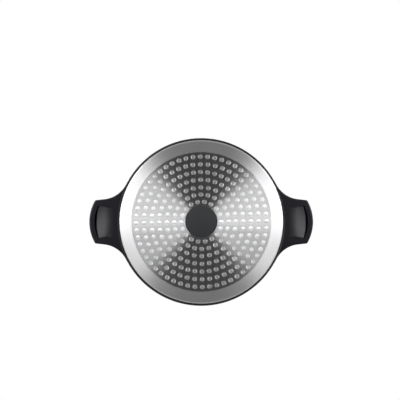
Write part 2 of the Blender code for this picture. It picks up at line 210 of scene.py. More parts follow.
# Floor
FLOOR_RADIUS = 2.4
FLOOR_SEGMENTS = 96
FLOOR_DROP = 0.0005
FLOOR_FADE = (0.5, 2.2)
FLOOR_COLOUR = (0.86, 0.86, 0.86, 1.0)

# Camera: straight below the pot, looking up, the photograph's right along +X and its top along -Y
CAMERA_DISTANCE = 1.6
CAMERA_ASIDE = (-0.003, 0.0012)
SENSOR_WIDTH = 36.0
PICTURE_WIDTH = 400
PIXELS_PER_METRE = 718.0
POT_CENTRE_PX = (201.3, 221.8)


# Shared shapes

def even_turns(start, end, steps):
    """Angles from start to end, ends included."""
    return [start + (end - start) * step / steps for step in range(steps + 1)]


def arc(centre, radius, start, end, steps):
    """Points along an arc, ends included."""
    turns = even_turns(start, end, steps)
    return [(centre[0] + radius * math.cos(turn), centre[1] + radius * math.sin(turn)) for turn in turns]


def circle(radius, segments, centre=(0.0, 0.0), turn=0.0):
    """Points round a circle, the first one at the turn."""
    turns = [turn + 2 * math.pi * segment / segments for segment in range(segments)]
    return [(centre[0] + radius * math.cos(a), centre[1] + radius * math.sin(a)) for a in turns]


def join_loops(bm, first, second):
    """Faces between two closed loops of vertices."""
    count = len(first)
    for i in range(count):
        j = (i + 1) % count
        bm.faces.new((first[i], first[j], second[j], second[i]))


def close_rings(bm, rings):
    """A closed solid through rings of vertices, with a face at each end."""
    for first, second in zip(rings, rings[1:]):
        join_loops(bm, first, second)
    bm.faces.new(rings[0])
    bm.faces.new(rings[-1])


def skirt(bm, loop, centre, profile):
    """Rings of faces from a loop of vertices through (radius, height) points round a centre. Gives the
    last ring."""
    for radius, height in profile:
        following = []
        for vertex in loop:
            way = Vector((vertex.co.x - centre[0], vertex.co.y - centre[1])).normalized()
            place = (centre[0] + way.x * radius, centre[1] + way.y * radius, height)
            following.append(bm.verts.new(place))
        join_loops(bm, loop, following)
        loop = following
    return loop


def turned(profile, segments=SEGMENTS):
    """A closed solid turned about Z. A profile that starts and ends on the axis closes there, another
    closes on itself."""
    bm = bmesh.new()
    rings = []
    for radius, height in profile:
        if radius < SAME_PLACE:
            rings.append([bm.verts.new((0.0, 0.0, height))])
        else:
            rings.append([bm.verts.new((x, y, height)) for x, y in circle(radius, segments)])
    pairs = list(zip(rings, rings[1:]))
    if len(rings[0]) > 1:
        pairs.append((rings[-1], rings[0]))
    for a, b in pairs:
        for i in range(segments):
            j = (i + 1) % segments
            corners = [a[i % len(a)], a[j % len(a)], b[j % len(b)], b[i % len(b)]]
            bm.faces.new(list(dict.fromkeys(corners)))
    return bm


def flat_face(bm, loops, height, keep):
    """A flat triangulated face between loops of points. keep tells from a triangle's middle whether it
    stays. Gives the vertices of each loop."""
    points = []
    edges = []
    for loop in loops:
        first = len(points)
        points += [Vector(p) for p in loop]
        edges += [(first + i, first + (i + 1) % len(loop)) for i in range(len(loop))]
    out, _, faces, origin, _, _ = delaunay_2d_cdt(points, edges, [], 0, SAME_CORNER)
    verts = [bm.verts.new((p.x, p.y, height)) for p in out]
    for corners in faces:
        middle = sum((out[i] for i in corners), Vector((0.0, 0.0))) / len(corners)
        if keep(middle):
            bm.faces.new([verts[i] for i in corners])
    by_input = {}
    for made, sources in enumerate(origin):
        for source in sources:
            by_input[source] = verts[made]
    result = []
    first = 0
    for loop in loops:
        result.append([by_input[first + i] for i in range(len(loop))])
        first += len(loop)
    return result


def finish_mesh(name, bm, material, sharp_degrees=30):
    """Makes a piece of the object from a bmesh. Edges past the sharp angle stay sharp."""
    bmesh.ops.remove_doubles(bm, verts=bm.verts, dist=SAME_VERTEX)
    bmesh.ops.recalc_face_normals(bm, faces=bm.faces)
    mesh = bpy.data.meshes.new(name)
    bm.to_mesh(mesh)
    bm.free()
    mesh.shade_smooth()
    mesh.set_sharp_from_angle(angle=math.radians(sharp_degrees))
    mesh.materials.append(material)
    piece = bpy.data.objects.new(name, mesh)
    bpy.context.scene.collection.objects.link(piece)
    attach(piece, "root")
    return piece


# Shader nodes

def new_material(name, constants=None):
    """A material with a Principled shader, whose sockets take the constants by name."""
    material = bpy.data.materials.new(name)
    material.use_nodes = True
    tree = material.node_tree
    shader = tree.nodes["Principled BSDF"]
    for socket, value in (constants or {}).items():
        shader.inputs[socket].default_value = value
    return material, tree, shader


def add_node(tree, kind, **settings):
    """A new node with its settings."""
    made = tree.nodes.new(kind)
    for key, value in settings.items():
        setattr(made, key, value)
    return made


def combine(tree, operation, *values):
    """A sum or another operation on the outputs of nodes."""
    made = add_node(tree, "ShaderNodeMath", operation=operation)
    for value, socket in zip(values, made.inputs):
        tree.links.new(value, socket)
    return made.outputs[0]


def coordinates(tree, kind):
    """X, Y and Z of a texture coordinate, as outputs."""
    place = add_node(tree, "ShaderNodeTexCoord")
    parts = add_node(tree, "ShaderNodeSeparateXYZ")
    tree.links.new(place.outputs[kind], parts.inputs[0])
    return parts.outputs


def distance_from_axis(tree):
    """Distance from the pot's axis."""
    parts = coordinates(tree, "Object")
    squares = [combine(tree, "MULTIPLY", part, part) for part in (parts[0], parts[1])]
    return combine(tree, "SQRT", combine(tree, "ADD", *squares))


def ramp(tree, value, result, source=(0.0, 1.0)):
    """Maps a value from the source range to the result range."""
    made = add_node(tree, "ShaderNodeMapRange")
    made.inputs["From Min"].default_value = source[0]
    made.inputs["From Max"].default_value = source[1]
    made.inputs["To Min"].default_value = result[0]
    made.inputs["To Max"].default_value = result[1]
    tree.links.new(value, made.inputs["Value"])
    return made.outputs[0]


def colour_mix(tree, factor, dark, light):
    """A colour between two, by the factor. The sockets for colours come after those for other kinds."""
    made = add_node(tree, "ShaderNodeMix", data_type="RGBA")
    tree.links.new(factor, made.inputs["Factor"])
    made.inputs[6].default_value = (*dark, 1.0)
    made.inputs[7].default_value = (*light, 1.0)
    return made.outputs[2]


def noise(tree, scale, detail, along=None):
    """Noise in space or, along a value, in one dimension."""
    made = add_node(tree, "ShaderNodeTexNoise")
    made.inputs["Scale"].default_value = scale
    made.inputs["Detail"].default_value = detail
    if along is not None:
        made.noise_dimensions = "1D"
        tree.links.new(along, made.inputs["W"])
    else:
        place = add_node(tree, "ShaderNodeTexCoord")
        tree.links.new(place.outputs["Object"], made.inputs["Vector"])
    return made.outputs["Fac"]


def bump(tree, height, strength, distance):
    """A relief of the surface: its new normal."""
    made = add_node(tree, "ShaderNodeBump")
    made.inputs["Strength"].default_value = strength
    made.inputs["Distance"].default_value = distance
    tree.links.new(height, made.inputs["Height"])
    return made.outputs[0]


# Materials

def lathe_metal(name, metallic, anisotropy):
    """Metal whose highlights are spread across marks that run round the pot's axis."""
    constants = {"Metallic": metallic, "Anisotropic": anisotropy, "Anisotropic Rotation": QUARTER_TURN}
    material, tree, shader = new_material(name, constants)
    tangent = add_node(tree, "ShaderNodeTangent", direction_type="RADIAL", axis="Z")
    tree.links.new(tangent.outputs[0], shader.inputs["Tangent"])
    return material, tree, shader


def turned_metal(name, dark, light, metallic, roughness, anisotropy, groove_scale):
    """Metal with concentric turning marks, which spread its highlights into a bow tie."""
    material, tree, shader = lathe_metal(name, metallic, anisotropy)
    radius = distance_from_axis(tree)
    grooves = noise(tree, groove_scale, detail=3.0, along=radius)
    bands = noise(tree, 420.0, detail=2.0, along=radius)
    stains = noise(tree, 38.0, detail=4.0)
    mottle = noise(tree, 650.0, detail=3.0)
    shade = ramp(tree, combine(tree, "ADD", bands, mottle), result=(0.0, 1.0), source=(0.4, 1.6))
    spread = combine(tree, "ADD", grooves, stains)
    wear = ramp(tree, spread, result=(roughness - WEAR, roughness + WEAR), source=(0.6, 1.4))
    tree.links.new(colour_mix(tree, shade, dark, light), shader.inputs["Base Color"])
    tree.links.new(wear, shader.inputs["Roughness"])
    tree.links.new(bump(tree, grooves, strength=0.12, distance=0.00004), shader.inputs["Normal"])
    return material


def aluminium():
    """The bare band round the plate."""
    return turned_metal(
        "turned_aluminium", dark=(0.77, 0.77, 0.78), light=(0.85, 0.85, 0.86),
        metallic=0.93, roughness=0.42, anisotropy=0.88, groove_scale=2600.0)


def shaded_corner_aluminium():
    """The rounded corner outside the band: a darker, less metallic copy of the band's aluminium, painted
    shade that dims the corner's highlight.
    """
    return turned_metal(
        "shaded_corner_aluminium", dark=(0.74, 0.74, 0.75), light=(0.81, 0.81, 0.82),
        metallic=0.74, roughness=0.42, anisotropy=0.88, groove_scale=2600.0)


def steel():
    """The perforated plate."""
    return turned_metal(
        "turned_steel", dark=(0.45, 0.45, 0.455), light=(0.53, 0.53, 0.535),
        metallic=1.0, roughness=0.38, anisotropy=0.975, groove_scale=2200.0)


def stud_aluminium():
    """The faces of the studs: softer and a little rougher than the turned band."""
    material, tree, shader = lathe_metal("stud_aluminium", metallic=0.85, anisotropy=0.92)
    grain = noise(tree, 900.0, detail=3.0)
    colour = colour_mix(tree, grain, dark=(0.68, 0.68, 0.69), light=(0.77, 0.77, 0.78))
    tree.links.new(colour, shader.inputs["Base Color"])
    tree.links.new(ramp(tree, grain, result=(0.40, 0.45)), shader.inputs["Roughness"])
    return material


def grained(name, constants, dark, light, roughness, grain, relief, cloud_scale=None):
    """A surface with a fine grain, which its roughness and its relief follow. Its colour follows the
    grain too, or a wide cloud."""
    material, tree, shader = new_material(name, constants)
    fine = noise(tree, *grain)
    tint = noise(tree, cloud_scale, detail=3.0) if cloud_scale else fine
    tree.links.new(colour_mix(tree, tint, dark, light), shader.inputs["Base Color"])
    tree.links.new(ramp(tree, fine, result=roughness), shader.inputs["Roughness"])
    tree.links.new(bump(tree, fine, *relief), shader.inputs["Normal"])
    return material


def coating():
    """Satin black coating with the fine orange peel of a sprayed film."""
    return grained(
        "black_coating", {"Specular IOR Level": 0.25},
        dark=(0.010, 0.010, 0.011), light=(0.015, 0.015, 0.0165),
        roughness=(0.60, 0.70), grain=(1400.0, 3.0), relief=(0.15, 0.00003), cloud_scale=26.0)


def disc_coating():
    """The flat coated disc in the middle of the base."""
    return grained(
        "disc_coating", {}, dark=(0.0065, 0.0073, 0.0082), light=(0.0090, 0.0100, 0.0118),
        roughness=(0.55, 0.65), grain=(1100.0, 3.0), relief=(0.1, 0.00003))


def phenolic():
    """Moulded phenolic: near black, with a fine matt grain."""
    return grained(
        "black_phenolic", {"Specular IOR Level": 0.22},
        dark=(0.0146, 0.0136, 0.0182), light=(0.0168, 0.0156, 0.0208),
        roughness=(0.29, 0.33), grain=(2400.0, 2.0), relief=(0.12, 0.00004), cloud_scale=60.0)


def fastener_metal(name, dark, light, roughness):
    """Metal of a small part, with a fine even mottle."""
    return grained(
        name, {"Metallic": 1.0}, dark, light, roughness, grain=(1600.0, 3.0), relief=(0.1, 0.00002))


def zinc_plate():
    """Bright zinc on the screws."""
    return fastener_metal("zinc_plate", (0.60, 0.61, 0.64), (0.70, 0.71, 0.73), roughness=(0.24, 0.36))


def spring_steel():
    """Dark steel of the washers."""
    return fastener_metal("spring_steel", (0.30, 0.29, 0.28), (0.38, 0.37, 0.36), roughness=(0.34, 0.46))


def boss_aluminium():
    """Bare metal of the bosses on the wall."""
    return fastener_metal("boss_aluminium", (0.74, 0.74, 0.75), (0.82, 0.82, 0.83), roughness=(0.32, 0.44))


# Vessel

def wall_radius(height):
    """Outer radius of the drafted wall."""
    top = RIM_RADIUS - LIP_OVERHANG
    return top - (POT_HEIGHT - height) * math.tan(WALL_DRAFT)


def corner_centre(inset, corner, bottom):
    """Centre of the round between a flat face and the wall, or a surface inset from the wall."""
    height = bottom + corner
    return (wall_radius(height) - inset - corner / math.cos(WALL_DRAFT), height)


def coating_start(centre):
    """Turn on the outer corner's round where the bare metal ends and the coating starts."""
    return -math.pi / 2 + math.asin((TURNED_RADIUS - centre[0]) / OUTER_CORNER)


def build_vessel():
    """The coated shell, from the joint with the bare base up to the lip and down the inside."""
    outer = corner_centre(0.0, OUTER_CORNER, 0.0)
    inner = corner_centre(WALL, INNER_CORNER, FLOOR_TOP)
    lip_bottom = POT_HEIGHT - LIP_THICKNESS
    foot = lip_bottom - LIP_FILLET_FOOT
    fillet = (wall_radius(lip_bottom) + LIP_FILLET, lip_bottom - LIP_FILLET)
    edge = LIP_EDGE_ROUND
    mouth = wall_radius(POT_HEIGHT) - WALL
    joint = BASE_SKIN + JOINT_GAP
    profile = [(0.0, joint), (TURNED_RADIUS - JOINT_LAND, joint), (TURNED_RADIUS, joint)]
    profile += arc(outer, OUTER_CORNER, coating_start(outer), -WALL_DRAFT, OUTER_CORNER_STEPS)
    profile += [(wall_radius(height), height) for height in (*WALL_HEIGHTS, foot)]
    profile += arc(fillet, LIP_FILLET, math.pi, math.pi / 2, LIP_FILLET_STEPS)
    profile += arc((RIM_RADIUS - edge, lip_bottom + edge), edge, -math.pi / 2, 0, ROUND_STEPS)
    profile += arc((RIM_RADIUS - edge, POT_HEIGHT - edge), edge, 0, math.pi / 2, ROUND_STEPS)
    profile += arc((mouth + edge, POT_HEIGHT - edge), edge, math.pi / 2, math.pi, ROUND_STEPS)
    profile += arc(inner, INNER_CORNER, -WALL_DRAFT, -math.pi / 2, INNER_CORNER_STEPS)
    profile += [(radius, FLOOR_TOP) for radius in (*FLOOR_RADII, 0.0)]
    vessel = finish_mesh("coated_vessel", turned(profile), coating())
    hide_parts("pot_body")


# Base with its studs, plate and centre disc

def ring_radii():
    """Radii of the rings of studs: three close ones, then even steps to the last."""
    last_close = CLOSE_RING_RADII[-1]
    way = PLATE_RADIUS - LAST_RING_MARGIN - last_close
    wide = [last_close + way * ring / WIDE_RINGS for ring in range(1, WIDE_RINGS + 1)]
    return [*CLOSE_RING_RADII, *wide]


def stud_places():
    """X, Y and turn of each stud. A ring's count is a multiple of the fold, or of half of it in the
    first ring."""
    places = []
    for ring, radius in enumerate(ring_radii()):
        fold = RING_FOLD // 2 if ring == 0 else RING_FOLD
        count = fold * round(2 * math.pi * radius / (fold * STUD_PITCH))
        for index in range(count):
            angle = PATTERN_TURN + 2 * math.pi * index / count
            places.append((radius * math.cos(angle), radius * math.sin(angle), angle))
    return places


def cell_of(x, y):
    """The square of a search grid that holds a point."""
    return round(x / STUD_PITCH), round(y / STUD_PITCH)


def outside_holes(places, radius, inner, outer):
    """A test of whether a point lies between two circles and outside every hole."""
    grid = {}
    for x, y, _ in places:
        grid.setdefault(cell_of(x, y), []).append((x, y))

    def keep(point):
        if not inner < point.length < outer:
            return False
        column, row = cell_of(point.x, point.y)
        cells = [(column + i, row + j) for i in (-1, 0, 1) for j in (-1, 0, 1)]
        near = [hole for cell in cells for hole in grid.get(cell, ())]
        return all(math.hypot(point.x - x, point.y - y) >= radius * HOLE_TEST_SHARE for x, y in near)

    return keep


def plate_side(bm, places, height, edge, hole):
    """One flat side of the plate, less an edge at its rim and its centre hole. Gives the vertices of its
    loops."""
    rim = PLATE_RADIUS - edge
    centre = CENTRE_HOLE + edge
    loops = [circle(rim, SEGMENTS), circle(centre, CENTRE_SEGMENTS)]
    loops += [circle(hole, STUD_SIDES, (x, y), angle) for x, y, angle in places]
    return flat_face(bm, loops, height, outside_holes(places, hole, centre, rim))


def dish_profile(mouth):
    """A hole from its dished mouth to its straight bore, as (radius, height) points."""
    profile = []
    for inwards in (0.0, DISH_EASE, 2 * DISH_EASE, DISH_WIDTH - DISH_EASE / 2):
        profile.append((mouth - inwards, math.tan(DISH_SLOPE) * max(0.0, inwards - DISH_EASE / 2)))
    return profile + [(HOLE_RADIUS, HOLE_ENTRY), (HOLE_RADIUS, 2 * HOLE_ENTRY)]


def build_plate():
    """The perforated plate, with a dished mouth to each hole."""
    places = stud_places()
    mouth = HOLE_RADIUS + DISH_WIDTH
    dish = dish_profile(mouth)
    axis = (0.0, 0.0)
    bm = bmesh.new()
    lower = plate_side(bm, places, 0.0, FINE_EDGE + FLAT_RING, mouth + FLAT_RING)
    upper = plate_side(bm, places, PLATE_THICKNESS, 0.0, HOLE_RADIUS)
    rim = skirt(bm, lower[0], axis, [(PLATE_RADIUS - FINE_EDGE, 0.0), (PLATE_RADIUS, FINE_EDGE)])
    centre = skirt(bm, lower[1], axis, [(CENTRE_HOLE + FINE_EDGE, 0.0), (CENTRE_HOLE, FINE_EDGE)])
    join_loops(bm, rim, upper[0])
    join_loops(bm, centre, upper[1])
    for (x, y, _), below, above in zip(places, lower[2:], upper[2:]):
        join_loops(bm, skirt(bm, below, (x, y), dish), above)
    plate = finish_mesh("perforated_plate", bm, steel(), sharp_degrees=40)
    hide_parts("induction_plate")


def stud_profile(radius):
    """A stud's rounded edge and slightly domed face, as (radius, height) points."""
    flat = radius - STUD_EDGE
    dome = flat * math.tan(STUD_DOME) / 2
    edge = arc((0.0, STUD_EDGE), STUD_EDGE, 0, -math.pi / 2, STUD_EDGE_STEPS)
    profile = [(flat + x, STUD_TOP + dome + z) for x, z in edge]
    return profile + [(flat * share, STUD_TOP + dome * share**2) for share in STUD_DOME_SHARES]


def build_base():
    """The bare band, the seat under the plate and the studs, one closed piece."""
    places = stud_places()
    seat = PLATE_THICKNESS + SEAT_GAP
    seat_radius = PLATE_RADIUS + SEAT_GAP
    pad_radius = CENTRE_HOLE - SEAT_GAP
    stud_radius = HOLE_RADIUS - STUD_SLACK
    stud = stud_profile(stud_radius)
    corner = corner_centre(0.0, OUTER_CORNER, 0.0)
    axis = (0.0, 0.0)
    bm = bmesh.new()
    loops = [circle(seat_radius, SEGMENTS)]
    loops += [circle(stud_radius, STUD_SIDES, (x, y), angle) for x, y, angle in places]
    loops.append(circle(pad_radius, CENTRE_SEGMENTS))
    made = flat_face(bm, loops, seat, outside_holes(places, stud_radius, pad_radius, seat_radius))
    inner_edge = seat_radius + FINE_EDGE
    band = [(seat_radius, FINE_EDGE), (inner_edge, 0.0), (inner_edge + FLAT_RING, 0.0)]
    band.append((corner[0] - BAND_LAND, 0.0))
    band += arc(corner, OUTER_CORNER, -math.pi / 2, coating_start(corner), BASE_CORNER_STEPS)
    band.append((TURNED_RADIUS, BASE_SKIN))
    bm.faces.new(skirt(bm, made[0], axis, band))
    bm.faces.new(skirt(bm, made[-1], axis, [(pad_radius, CENTRE_DEPTH + PAD_RECESS)]))
    for (x, y, _), foot in zip(places, made[1:]):
        bm.faces.new(skirt(bm, foot, (x, y), stud))
    base = finish_mesh("turned_base", bm, aluminium(), sharp_degrees=40)
    base.data.materials.append(stud_aluminium())
    # the rounded corner gets a darker copy of the aluminium: painted shade that dims its highlight
    base.data.materials.append(shaded_corner_aluminium())
    for face in base.data.polygons:
        radius = face.center.to_2d().length
        if radius < seat_radius - STUD_ZONE_MARGIN:
            face.material_index = 1
        # faces on the rounded corner take the darker copy, painted shade
        elif radius > corner[0]:
            face.material_index = 2


def build_centre_disc():
    """The thin coated disc on the base's middle."""
    radius = CENTRE_HOLE - SEAT_GAP
    back = CENTRE_DEPTH + DISC_SKIN
    profile = [(0.0, CENTRE_DEPTH), (radius - DISC_EDGE, CENTRE_DEPTH)]
    profile += [(radius - FINE_EDGE, CENTRE_DEPTH + DISC_EDGE_RISE), (radius, back), (0.0, back)]
    finish_mesh("centre_disc", turned(profile, CENTRE_SEGMENTS), disc_coating())


# Outline of the handles

def first_at_distance(start, direction, distance, centre):
    """The first point on a line that is at a distance from a centre."""
    offset = start - centre
    along = offset.dot(direction)
    return start + direction * (-along - math.sqrt(along**2 - offset.length_squared + distance**2))


def saddle_radius(height):
    """Distance of the moulding's back from the pot's axis."""
    return wall_radius(height) + SADDLE_GAP


def saddle_point(angle, height):
    """A point on the moulding's back, at a height above its middle."""
    radius = saddle_radius(HANDLE_MIDDLE + height)
    return Vector((radius * math.cos(angle), radius * math.sin(angle), HANDLE_MIDDLE + height))


def tip_arc_radius(angle, inset):
    """Distance from the pot's axis to an arc that lies inside the tip's arc by the inset."""
    centre = HANDLE_TIP_X - TIP_ARC
    across = centre * math.sin(angle)
    return centre * math.cos(angle) + math.sqrt((TIP_ARC - inset) ** 2 - across**2)


def tip_arc_turns(end, steps):
    """Turns along the tip's arc, with a close pair of them at the pocket's end."""
    pair = []
    for angle in (POCKET_HALF_ANGLE - POCKET_END_TURN, POCKET_HALF_ANGLE + POCKET_END_TURN):
        radius = tip_arc_radius(angle, EDGE_ROUND)
        pair.append(math.atan2(radius * math.sin(angle), radius * math.cos(angle) - HANDLE_TIP_X + TIP_ARC))
    near = POCKET_END_CLEARANCE * end / steps
    kept = [turn for turn in even_turns(0.0, end, steps) if turn < pair[0] - near or turn > pair[1] + near]
    return sorted(kept + pair)


def handle_runs():
    """The arcs of half the outline, from the tip to the wing's end. Each has a centre, a radius, the
    turns of its points and whether the moulding lies outside it."""
    axis = Vector((0.0, 0.0))
    wing_radius = saddle_radius(HANDLE_MIDDLE) + WING_THICKNESS
    inward = Vector((-math.sin(FLANK_ANGLE), -math.cos(FLANK_ANGLE)))
    along = Vector((-math.cos(FLANK_ANGLE), math.sin(FLANK_ANGLE)))
    flank = Vector((HANDLE_TIP_X, TIP_WIDTH / 2))
    tip = Vector((HANDLE_TIP_X - TIP_ARC, 0.0))
    corner = first_at_distance(flank + inward * HANDLE_CORNER, along, TIP_ARC - HANDLE_CORNER, tip)
    corner_start = math.atan2(corner.y - tip.y, corner.x - tip.x)
    corner_turns = even_turns(corner_start, math.pi / 2 - FLANK_ANGLE, HANDLE_CORNER_STEPS)
    flare = first_at_distance(flank - inward * FLARE, along, wing_radius + FLARE, axis)
    blend = math.atan2(flare.y, flare.x)
    flare_turns = even_turns(-math.pi / 2 - FLANK_ANGLE, blend - math.pi, FLARE_STEPS)
    return (
        (tip, TIP_ARC, tip_arc_turns(corner_start, TIP_STEPS), False),
        (corner, HANDLE_CORNER, corner_turns, False),
        (flare, FLARE, flare_turns, True),
        (axis, wing_radius, even_turns(blend, blend + WING_TAIL, WING_STEPS), False),
    )


def stations_between(first, last):
    """Even stations on the straight flank between two stations."""
    stations = []
    for part in range(1, FLANK_PARTS):
        share = part / FLANK_PARTS
        stations.append((first[0].lerp(last[0], share), first[1].lerp(last[1], share).normalized()))
    return stations


def handle_stations():
    """Half the outline as points from the tip to the wing's end, each with its way in."""
    stations = []
    for centre, radius, turns, outside in handle_runs():
        for turn in turns:
            point = centre + radius * Vector((math.cos(turn), math.sin(turn)))
            way = (point - centre if outside else centre - point).normalized()
            if stations and (point - stations[-1][0]).length < SAME_PLACE:
                continue
            if stations and (point - stations[-1][0]).length > LONGEST_STEP:
                stations += stations_between(stations[-1], (point, way))
            stations.append((point, way))
    return stations


# Sections of the handles

def wing_share(angle, end_angle):
    """Share of the root's height that is left along the wing."""
    if abs(angle) <= WING_SHOULDER:
        return 1.0
    end_share = WING_END_HEIGHT / (2 * ROOT_HALF)
    way = min(1.0, (abs(angle) - WING_SHOULDER) / (end_angle - WING_SHOULDER))
    return end_share + (1 - end_share) * math.sqrt(1 - way**2)


def half_height(radius):
    """Half the moulding's height at a distance from the pot's axis."""
    root = saddle_radius(HANDLE_MIDDLE)
    way = max(0.0, (radius - root) / (HANDLE_TIP_X - root))
    return ROOT_HALF - ROOT_EXTRA / 2 * way


def lip_radius(angle):
    """Distance of the lip's inner edge from the pot's axis."""
    return tip_arc_radius(angle, POCKET_LIP)


def pocket_rise(place):
    """How far the underside is hollowed at a point."""
    radius = place.to_2d().length
    angle = math.atan2(place.y, place.x)
    if abs(angle) > POCKET_HALF_ANGLE:
        return 0.0
    wall = min(1.0, max(0.0, (lip_radius(angle) - radius) / POCKET_WALL_RUN))
    root = saddle_radius(HANDLE_MIDDLE) + POCKET_ROOT_MARGIN
    start = lip_radius(0.0) - POCKET_WALL_RUN
    way = min(1.0, max(0.0, (start - place.x) / (start - root)))
    if way < POCKET_STRAIGHT:
        share = 1 - 2 * way / (1 + POCKET_STRAIGHT)
    else:
        share = (1 - way) ** 2 / (1 - POCKET_STRAIGHT**2)
    arch = POCKET_ARCH * (angle / POCKET_HALF_ANGLE) ** 2
    return wall * share * (POCKET_DEPTH - arch)


def rounded_edge(point, inward, inset, drop, rim_half):
    """The rounded upper edge of a section, from the flank to the top."""
    places = []
    for step in range(HANDLE_EDGE_STEPS, -1, -1):
        turn = math.pi / 2 * step / HANDLE_EDGE_STEPS
        place = point + inward * inset * (1 - math.sin(turn))
        places.append(Vector((place.x, place.y, HANDLE_MIDDLE + rim_half - drop * (1 - math.cos(turn)))))
    return places


def underside_ways(run, edge_radius, angle):
    """Shares of the way from the lower edge to the back, from the back outwards: along the pocket's
    roof, close together on its wall, and along the lip."""
    lip = PLAIN_LIP_SHARE
    if abs(angle) < LIP_LINE_ANGLE:
        lip = min(MOST_LIP_SHARE, max(0.0, edge_radius - lip_radius(angle)) / run)
    wall = POCKET_WALL_RUN / run if run > SHORT_UNDERSIDE else PLAIN_WALL_SHARE
    roof = 1 - lip - wall
    ways = [lip + wall + roof * step / ROOF_STEPS for step in reversed(range(ROOF_STEPS))]
    ways += [lip + wall * step / POCKET_WALL_STEPS for step in reversed(range(POCKET_WALL_STEPS))]
    ways += [lip * step / LIP_STEPS for step in reversed(range(1, LIP_STEPS))]
    return ways


def handle_section(point, inward, end_angle):
    """A closed loop: upper edge, top, back, underside with the pocket, lower edge."""
    share = wing_share(math.atan2(point.y, point.x), end_angle)
    width = point.length - saddle_radius(HANDLE_MIDDLE)
    rim_half = half_height(point.length) * share
    inset = min(EDGE_ROUND, MOST_EDGE_SHARE * width)
    drop = min(EDGE_ROUND, MOST_EDGE_SHARE * rim_half)
    edge = point + inward * inset
    angle = math.atan2(edge.y, edge.x)
    top_back = saddle_point(angle, ROOT_HALF * share)
    bottom_back = saddle_point(angle, -ROOT_HALF * share)
    upper = rounded_edge(point, inward, inset, drop, rim_half)
    lower = [Vector((v.x, v.y, 2 * HANDLE_MIDDLE - v.z)) for v in reversed(upper)]
    loop = list(upper)
    loop += [upper[-1].lerp(top_back, step / TOP_STEPS) for step in range(1, TOP_STEPS + 1)]
    loop += [top_back.lerp(bottom_back, step / BACK_STEPS) for step in range(1, BACK_STEPS + 1)]
    run = (lower[0] - bottom_back).to_2d().length
    for way in underside_ways(run, edge.length, angle):
        place = lower[0].lerp(bottom_back, way)
        place.z += pocket_rise(place)
        loop.append(place)
    return loop + lower


def handle_mesh():
    """The right moulding before its bore is cut."""
    half = handle_stations()
    end_angle = math.atan2(half[-1][0].y, half[-1][0].x)
    stations = [(Vector((p.x, -p.y)), Vector((n.x, -n.y))) for p, n in reversed(half[1:])] + half
    bm = bmesh.new()
    rings = []
    for point, inward in stations:
        rings.append([bm.verts.new(place) for place in handle_section(point, inward, end_angle)])
    close_rings(bm, rings)
    return bm


# Fixings

def carved(solid, tool):
    """The solid less the tool."""
    things = []
    for bm in (solid, tool):
        bmesh.ops.recalc_face_normals(bm, faces=bm.faces)
        mesh = bpy.data.meshes.new("carving")
        bm.to_mesh(mesh)
        bm.free()
        thing = bpy.data.objects.new("carving", mesh)
        bpy.context.scene.collection.objects.link(thing)
        things.append(thing)
    cut = things[0].modifiers.new("cut", "BOOLEAN")
    cut.operation = "DIFFERENCE"
    cut.solver = "EXACT"
    cut.object = things[1]
    bpy.context.view_layer.update()
    made = bmesh.new()
    made.from_object(things[0], bpy.context.evaluated_depsgraph_get())
    for thing in things:
        mesh = thing.data
        bpy.data.objects.remove(thing)
        bpy.data.meshes.remove(mesh)
    return made


def along_screw(bm):
    """Lays a solid turned about Z along the right screw's axis."""
    bmesh.ops.rotate(bm, verts=bm.verts, cent=(0, 0, 0), matrix=Matrix.Rotation(math.pi / 2, 3, "Y"))
    bmesh.ops.translate(bm, verts=bm.verts, vec=(0, 0, SCREW_HEIGHT))
    return bm


def bore_tool():
    """Socket for the stud, hole for the shank and the wider bore of the head, with a chamfered mouth."""
    foot = saddle_radius(SCREW_HEIGHT) - SOCKET_RADIUS
    seat = WASHER_BACK_X - SEAT_GAP
    socket_end = seat - SEAT_THICKNESS
    end = HANDLE_TIP_X + BORE_OVERSHOOT
    profile = [(0.0, foot), (SOCKET_RADIUS, foot), (SOCKET_RADIUS, socket_end), (SHANK_HOLE, socket_end)]
    profile += [(SHANK_HOLE, seat), (BORE_RADIUS, seat), (BORE_RADIUS, HANDLE_TIP_X - BORE_CHAMFER)]
    profile += [(BORE_RADIUS + BORE_CHAMFER + BORE_OVERSHOOT, end), (0.0, end)]
    return along_screw(turned(profile, FIXING_SEGMENTS))


def drive_tool():
    """Cross recess of the screw: a plus-shaped prism that narrows inwards."""
    arm = DRIVE_LENGTH / 2
    half = DRIVE_WIDTH / 2
    bm = bmesh.new()
    rings = []
    for x, scale in ((SCREW_HEAD_X - DRIVE_DEPTH, DRIVE_TAPER), (SCREW_HEAD_X + DRIVE_OVERSHOOT, 1.0)):
        ring = []
        for quarter in range(4):
            turn = Matrix.Rotation(quarter * math.pi / 2, 2)
            for out, side in ((arm, -half), (arm, half), (half, half)):
                place = turn @ Vector((out * scale, side))
                ring.append(bm.verts.new((x, place.x, SCREW_HEIGHT + place.y)))
        rings.append(ring)
    close_rings(bm, rings)
    return bm


def screw_mesh():
    """The right screw, with its head outwards."""
    under_head = SCREW_HEAD_X - HEAD_HEIGHT
    edge = HEAD_ROUND
    profile = [(0.0, SCREW_END_X), (SCREW_RADIUS - SCREW_CHAMFER, SCREW_END_X)]
    profile += [(SCREW_RADIUS, SCREW_END_X + SCREW_CHAMFER), (SCREW_RADIUS, under_head)]
    profile += [(HEAD_RADIUS - WASHER_EDGE, under_head), (HEAD_RADIUS, under_head + WASHER_EDGE)]
    profile += arc((HEAD_RADIUS - edge, SCREW_HEAD_X - edge), edge, 0, math.pi / 2, ROUND_STEPS)
    profile += [(0.0, SCREW_HEAD_X)]
    return carved(along_screw(turned(profile, FIXING_SEGMENTS)), drive_tool())


